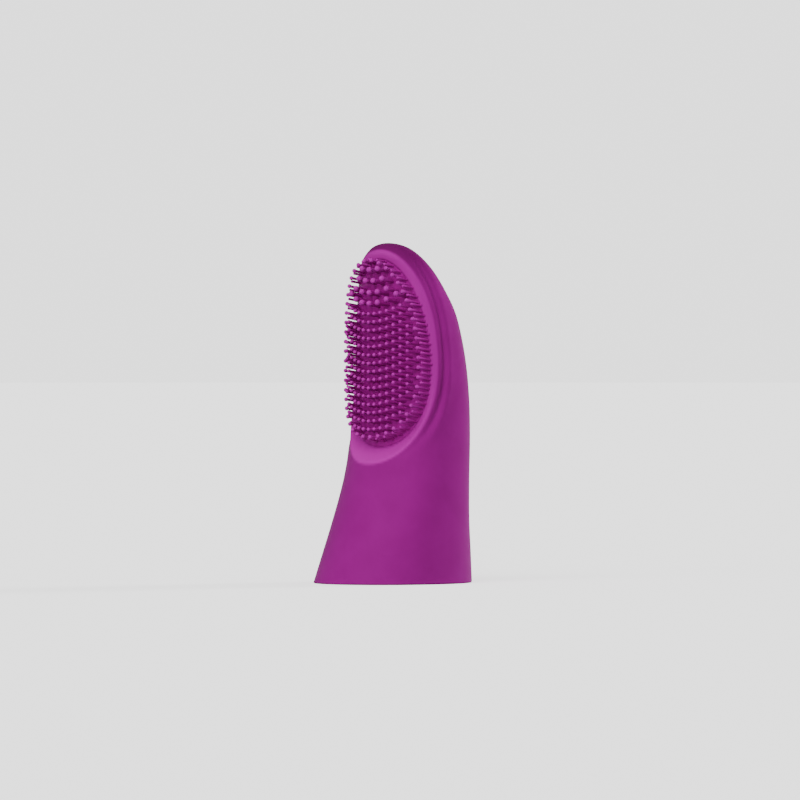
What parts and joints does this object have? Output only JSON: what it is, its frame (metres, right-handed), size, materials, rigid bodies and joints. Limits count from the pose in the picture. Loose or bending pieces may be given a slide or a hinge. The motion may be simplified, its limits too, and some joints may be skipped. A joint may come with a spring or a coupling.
{
  "type": "finger toothbrush",
  "caption": "Soft silicone sleeve for one finger with a convex oval field of bristles at the tip, a sealed vibration capsule inside the head and a power button in the back.",
  "frame": {"origin": "middle of the oval mouth on its lower face, where the brush stands", "axes": "+Z along the finger to the tip, bristles face -Y, X across"},
  "size_m": [0.0252, 0.0291, 0.0576],
  "materials": {
    "purple_silicone": "matte moulded silicone",
    "bristle_silicone": "matte moulded silicone",
    "button_silicone": "matte moulded silicone",
    "capsule_plastic": "fine moulded",
    "frame_plastic": "moulded",
    "black_plastic": "moulded",
    "button_plastic": "moulded",
    "seal_rubber": "soft",
    "foam": "open foam",
    "gold": "gold plated",
    "magnet_nickel": "nickel plated",
    "nickel_strip": "rolled strip",
    "cell_steel": "drawn steel",
    "board_green": "solder mask",
    "ceramic": "ceramic",
    "led_lens": "clear resin",
    "clear_guide": "polished clear plastic",
    "lead_red": "insulated wire",
    "motor_steel": "drawn steel",
    "copper": "bright copper",
    "copper_winding": "enamelled winding",
    "brass_bush": "sintered",
    "shaft_steel": "ground",
    "tungsten": "sintered"
  },
  "bodies": {
    "brush": {"finger_sleeve": "purple_silicone", "bristle_pad": "bristle_silicone", "capsule_shell": "capsule_plastic", "capsule_cap": "capsule_plastic", "charge_pins": "gold", "light_guide": "clear_guide", "cap_seal": "seal_rubber", "charge_magnets": "magnet_nickel", "charge_strips": "nickel_strip", "cell_pad": "foam", "battery_cell": "cell_steel", "cell_tab_lower": "nickel_strip", "cell_tab_upper": "nickel_strip", "chassis": "frame_plastic", "circuit_board": "board_green", "control_chip": "black_plastic", "board_capacitors": "ceramic", "status_led": "led_lens", "motor_leads": "lead_red", "switch_base": "black_plastic", "motor_can": "motor_steel", "motor_end_cap": "frame_plastic", "motor_brushes": "copper", "motor_bushing": "brass_bush", "motor_magnet": "magnet_nickel", "motor_boot": "seal_rubber", "button_seal": "seal_rubber"},
    "motor_rotor": {"rotor_coil": "copper_winding", "commutator": "copper", "motor_shaft": "shaft_steel", "eccentric_weight": "tungsten"},
    "button": {"power_button": "button_silicone", "switch_plunger": "button_plastic"}
  },
  "joints": [
    {"name": "rotor_spin", "type": "hinge", "parent": "brush", "child": "motor_rotor", "pos_m": [0, 0.00375, 0.033], "axis": [0, 0, 1], "continuous": true},
    {"name": "button_press", "type": "slide", "parent": "brush", "child": "button", "axis": [0, -1, 0], "range_m": [0, 0.0003], "stiffness_N_per_m": 5000}
  ]
}
